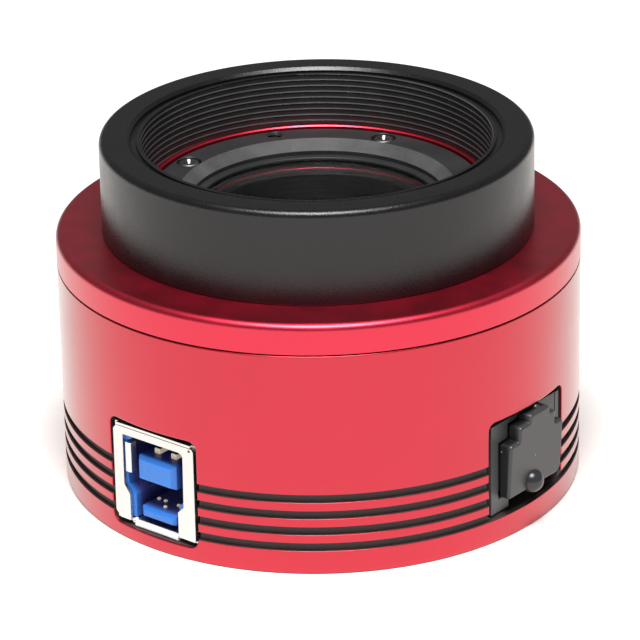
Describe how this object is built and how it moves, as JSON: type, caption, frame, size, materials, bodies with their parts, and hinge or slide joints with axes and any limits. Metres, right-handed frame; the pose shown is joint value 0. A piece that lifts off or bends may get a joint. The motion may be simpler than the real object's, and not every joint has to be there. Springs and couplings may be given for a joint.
{
  "type": "guide camera",
  "caption": "Round astronomy guide camera on its back: red metal head, black nose ring with inside thread, window over the sensor, USB and guide sockets, rubber dust plug.",
  "frame": {"origin": "middle of the back face, on the optical axis", "axes": "+Z along the optical axis from the back face to the nose ring; -Y out of the USB socket; +X out of the guide socket"},
  "size_m": [0.0637, 0.062, 0.0422],
  "materials": {
    "red_shell": "bead-blasted, red anodised, satin, with black-filled grooves",
    "red_cover": "bead-blasted, red anodised, satin",
    "black_ring": "bead-blasted, black anodised, satin",
    "black_plate": "fine-turned, black anodised",
    "window_glass": "polished, coated",
    "black_rubber": "matt",
    "plug_rubber": "matt grey, moulded",
    "screw_black": "blackened steel",
    "screw_steel": "dark zinc plated",
    "brass": "nickel-free machined brass",
    "contact_gold": "gold plated",
    "plated_steel": "bright nickel plated sheet",
    "usb_blue": "moulded, semi-gloss",
    "jack_grey": "moulded, satin",
    "board_green": "solder mask",
    "connector_black": "moulded",
    "chip_black": "moulded epoxy",
    "crystal_can": "nickel plated can",
    "ferrite": "sintered",
    "ceramic": "sintered, unglazed",
    "silicon": "polished die"
  },
  "bodies": {
    "camera_body": {"back_cover": "red_cover", "back_screw_1": "screw_steel", "back_screw_2": "screw_steel", "back_screw_3": "screw_steel", "back_screw_4": "screw_steel", "board_header": "connector_black", "board_socket": "connector_black", "board_spacer_1": "brass", "board_spacer_2": "brass", "board_spacer_3": "brass", "board_spacer_4": "brass", "clock_crystal": "crystal_can", "frame_pillar_1": "brass", "frame_pillar_2": "brass", "frame_pillar_3": "brass", "frame_pillar_4": "brass", "front_cover": "red_cover", "guide_contact_1": "contact_gold", "guide_contact_2": "contact_gold", "guide_contact_3": "contact_gold", "guide_contact_4": "contact_gold", "guide_contact_5": "contact_gold", "guide_contact_6": "contact_gold", "guide_jack": "jack_grey", "image_processor": "chip_black", "light_baffle": "black_rubber", "main_board": "board_green", "main_shell": "red_shell", "memory_chip": "chip_black", "power_inductor": "ferrite", "retainer_screw_1": "screw_black", "retainer_screw_2": "screw_black", "retainer_screw_3": "screw_black", "retainer_screw_4": "screw_black", "sensor_board": "board_green", "sensor_cover_glass": "window_glass", "sensor_die": "silicon", "sensor_package": "ceramic", "shell_seal": "black_rubber", "usb_contact_1": "contact_gold", "usb_contact_2": "contact_gold", "usb_contact_3": "contact_gold", "usb_contact_4": "contact_gold", "usb_controller": "chip_black", "usb_fast_contact_1": "contact_gold", "usb_fast_contact_2": "contact_gold", "usb_fast_contact_3": "contact_gold", "usb_fast_contact_4": "contact_gold", "usb_fast_contact_5": "contact_gold", "usb_insulator": "usb_blue", "usb_shell": "plated_steel", "window_gasket": "black_rubber", "window_glass": "window_glass", "window_retainer": "black_plate"},
    "nose_ring": {"adapter_ring": "black_ring"},
    "dust_plug": {"guide_plug": "plug_rubber"}
  },
  "joints": [
    {"name": "ring_off", "type": "slide", "parent": "camera_body", "child": "nose_ring", "axis": [0, 0, 1], "range_m": [0, 0.012]},
    {"name": "plug_out", "type": "slide", "parent": "camera_body", "child": "dust_plug", "axis": [1, 0, 0], "range_m": [0, 0.012]}
  ]
}
